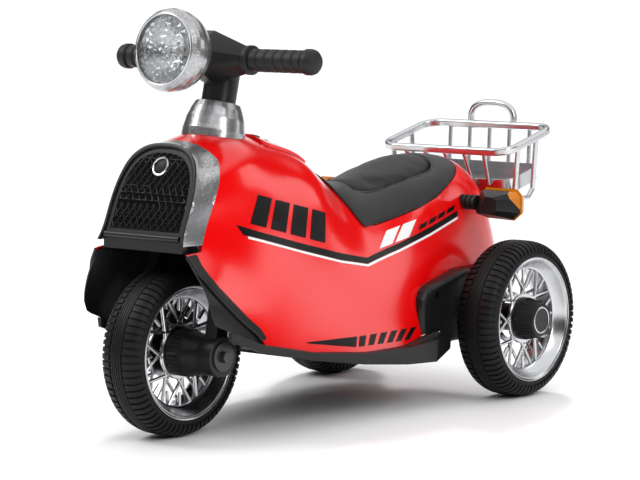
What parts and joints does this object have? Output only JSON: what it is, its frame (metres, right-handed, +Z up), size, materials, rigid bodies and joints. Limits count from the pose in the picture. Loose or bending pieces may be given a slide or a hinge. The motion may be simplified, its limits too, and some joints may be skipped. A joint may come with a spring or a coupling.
{
  "type": "kids electric motorbike",
  "caption": "Ride-on toy motorbike with a steered front wheel, driven rear wheels, moulded body with padded seat, headlight, turn indicators and rear basket.",
  "frame": {"origin": "on the ground, under the middle of the bounding box", "axes": "+X is the rider's left, -Y is straight ahead, +Z is up"},
  "size_m": [0.434, 0.864, 0.5719],
  "materials": {
    "body_red": "gloss",
    "black_plastic": "satin",
    "black_rubber": "matte",
    "silver_plastic": "gloss",
    "bright_plastic": "polished",
    "steel": "satin",
    "painted_steel": "satin",
    "tyre": "satin",
    "seat_cover": "satin",
    "seat_cushion": "satin",
    "clear_lens": "gloss",
    "lamp": "gloss",
    "amber_lens": "gloss",
    "button_plastic": "gloss",
    "battery_case": "matte",
    "board": "satin",
    "white_plastic": "satin",
    "pinion_brass": "satin"
  },
  "bodies": {
    "chassis": {"axle_cover_left": "black_plastic", "axle_cover_right": "black_plastic", "basket_bars": "bright_plastic", "basket_hoop": "bright_plastic", "basket_rim": "bright_plastic", "basket_tray": "bright_plastic", "battery": "battery_case", "body_shell_left": "body_red", "body_shell_right": "body_red", "charge_socket": "black_plastic", "control_board": "board", "dash_panel": "body_red", "drive_motor": "steel", "front_badge": "silver_plastic", "front_grille": "black_plastic", "grille_trim": "silver_plastic", "head_bushes": "white_plastic", "indicator_housing_left": "black_plastic", "indicator_housing_right": "black_plastic", "indicator_lens_left": "amber_lens", "indicator_lens_right": "amber_lens", "indicator_stalk_left": "black_rubber", "indicator_stalk_right": "black_rubber", "rack_bracket": "painted_steel", "rear_axle": "steel", "seat_cushion": "seat_cushion", "seat_saddle": "seat_cover", "speaker": "painted_steel", "steering_collar": "silver_plastic", "steering_head": "black_plastic", "tail_cover": "body_red", "underbody_pan": "black_plastic", "wheel_well_liner": "black_plastic"},
    "steering": {"steering_column": "painted_steel", "front_fork": "black_plastic", "column_sleeve": "black_plastic", "handlebar_cover": "black_plastic", "handlebar_tube": "steel", "grip_left": "black_rubber", "grip_right": "black_rubber", "headlight_shell": "silver_plastic", "headlight_lens": "clear_lens", "headlight_reflector": "bright_plastic", "headlight_lamp": "lamp", "front_axle": "steel"},
    "front_wheel": {"front_tyre": "tyre", "front_rim": "bright_plastic", "front_hub": "black_plastic"},
    "rear_left_wheel": {"rear_tyre_left": "tyre", "rear_rim_left": "bright_plastic", "rear_hub_left": "black_plastic"},
    "rear_right_wheel": {"rear_tyre_right": "tyre", "rear_rim_right": "bright_plastic", "rear_hub_right": "black_plastic", "drive_gear": "white_plastic"},
    "pinion": {"motor_pinion": "pinion_brass"},
    "pedal": {"foot_pedal": "black_plastic"},
    "power": {"power_button": "button_plastic"},
    "music": {"music_button": "button_plastic"},
    "direction": {"direction_switch": "button_plastic"}
  },
  "joints": [
    {"name": "steering_turn", "type": "hinge", "parent": "chassis", "child": "steering", "pos_m": [0, -0.22084, 0.45188], "axis": [0, 0.2419, 0.9703], "range_deg": [-28, 28]},
    {"name": "front_wheel_spin", "type": "hinge", "parent": "steering", "child": "front_wheel", "pos_m": [0, -0.318, 0.114], "axis": [1, 0, 0], "continuous": true},
    {"name": "rear_left_spin", "type": "hinge", "parent": "chassis", "child": "rear_left_wheel", "pos_m": [0.172, 0.242, 0.114], "axis": [1, 0, 0], "continuous": true},
    {"name": "rear_right_spin", "type": "hinge", "parent": "chassis", "child": "rear_right_wheel", "pos_m": [-0.172, 0.242, 0.114], "axis": [1, 0, 0], "continuous": true},
    {"name": "pinion_spin", "type": "hinge", "parent": "chassis", "child": "pinion", "pos_m": [-0.117, 0.2222, 0.1338], "axis": [1, 0, 0], "continuous": true},
    {"name": "pedal_press", "type": "hinge", "parent": "chassis", "child": "pedal", "pos_m": [-0.1315, 0.06228, 0.1015], "axis": [1, 0, 0], "range_deg": [0, 10], "stiffness_Nm_per_rad": 3, "springref_deg": -8.59},
    {"name": "power_press", "type": "slide", "parent": "chassis", "child": "power", "axis": [0, -0.2962, -0.9551], "range_m": [0, 0.002], "stiffness_N_per_m": 400, "springref_m": -0.001},
    {"name": "music_press", "type": "slide", "parent": "chassis", "child": "music", "axis": [0, -0.4484, -0.8939], "range_m": [0, 0.002], "stiffness_N_per_m": 400, "springref_m": -0.001},
    {"name": "direction_tip", "type": "hinge", "parent": "chassis", "child": "direction", "pos_m": [0, -0.12214, 0.38099], "axis": [1, 0, 0], "range_deg": [-8, 8]}
  ],
  "couplings": [
    {"joint": "pinion_spin", "follows": "rear_right_spin", "ratio": -3.6667}
  ]
}
